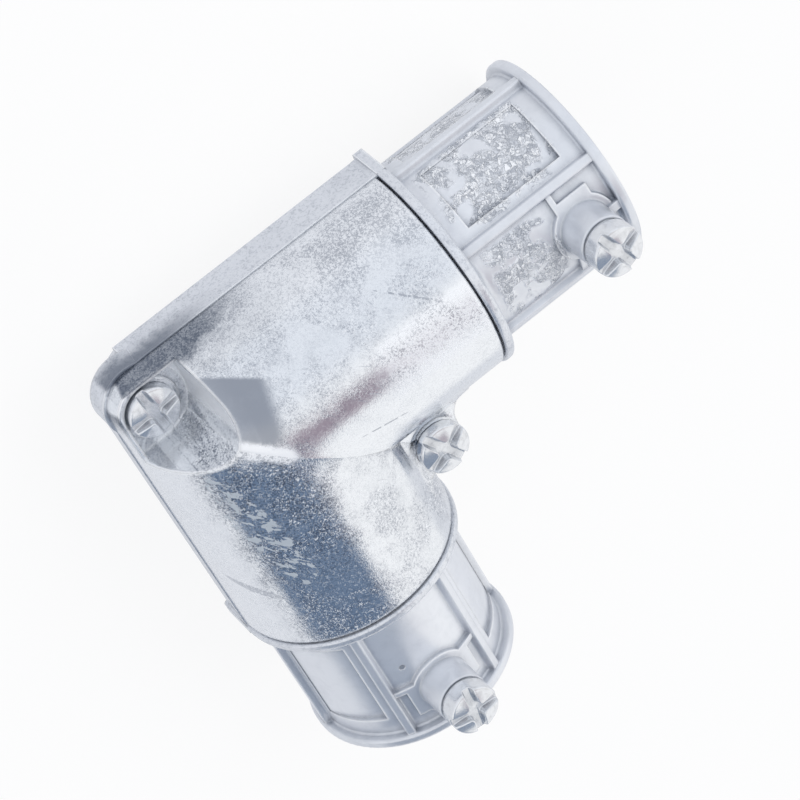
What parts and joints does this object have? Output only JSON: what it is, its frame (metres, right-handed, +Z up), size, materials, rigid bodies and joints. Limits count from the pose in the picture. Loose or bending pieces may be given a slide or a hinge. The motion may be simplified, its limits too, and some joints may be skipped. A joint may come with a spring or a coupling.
{
  "type": "inside corner pull elbow",
  "caption": "Right-angle die-cast conduit elbow with set-screw hubs and a screwed lift-off cover over the corner, for pulling wires round an inside corner.",
  "frame": {"origin": "under the middle of the part's outline, on the surface that it lies on", "axes": "+X and +Y point out of the two conduit hubs, +Z points up through the cover"},
  "size_m": [0.0704, 0.0704, 0.0394],
  "materials": {
    "cast_body": "bare bright die-cast zinc alloy, satin, with faint flow marks",
    "cast_cover": "bare bright die-cast zinc alloy with mottled flow marks",
    "plated_screw": "bright zinc-plated steel"
  },
  "bodies": {
    "body": {"body": "cast_body"},
    "cover": {"cover": "cast_cover"},
    "heel_cover_screw": {"heel_cover_screw": "plated_screw"},
    "throat_cover_screw": {"throat_cover_screw": "plated_screw"},
    "x_hub_set_screw": {"x_hub_set_screw": "plated_screw"},
    "y_hub_set_screw": {"y_hub_set_screw": "plated_screw"}
  },
  "joints": [
    {"name": "cover_lift", "type": "slide", "parent": "body", "child": "cover", "axis": [0, 0, 1], "range_m": [0, 0.03]},
    {"name": "heel_screw_travel", "type": "slide", "parent": "cover", "child": "heel_cover_screw", "axis": [0, 0, 1], "range_m": [0, 0.007]},
    {"name": "throat_screw_travel", "type": "slide", "parent": "cover", "child": "throat_cover_screw", "axis": [0, 0, 1], "range_m": [0, 0.007]},
    {"name": "x_set_screw_travel", "type": "slide", "parent": "body", "child": "x_hub_set_screw", "axis": [0, 0, 1], "range_m": [-0.0003, 0.0045]},
    {"name": "y_set_screw_travel", "type": "slide", "parent": "body", "child": "y_hub_set_screw", "axis": [0, 0, 1], "range_m": [-0.0003, 0.0045]}
  ]
}
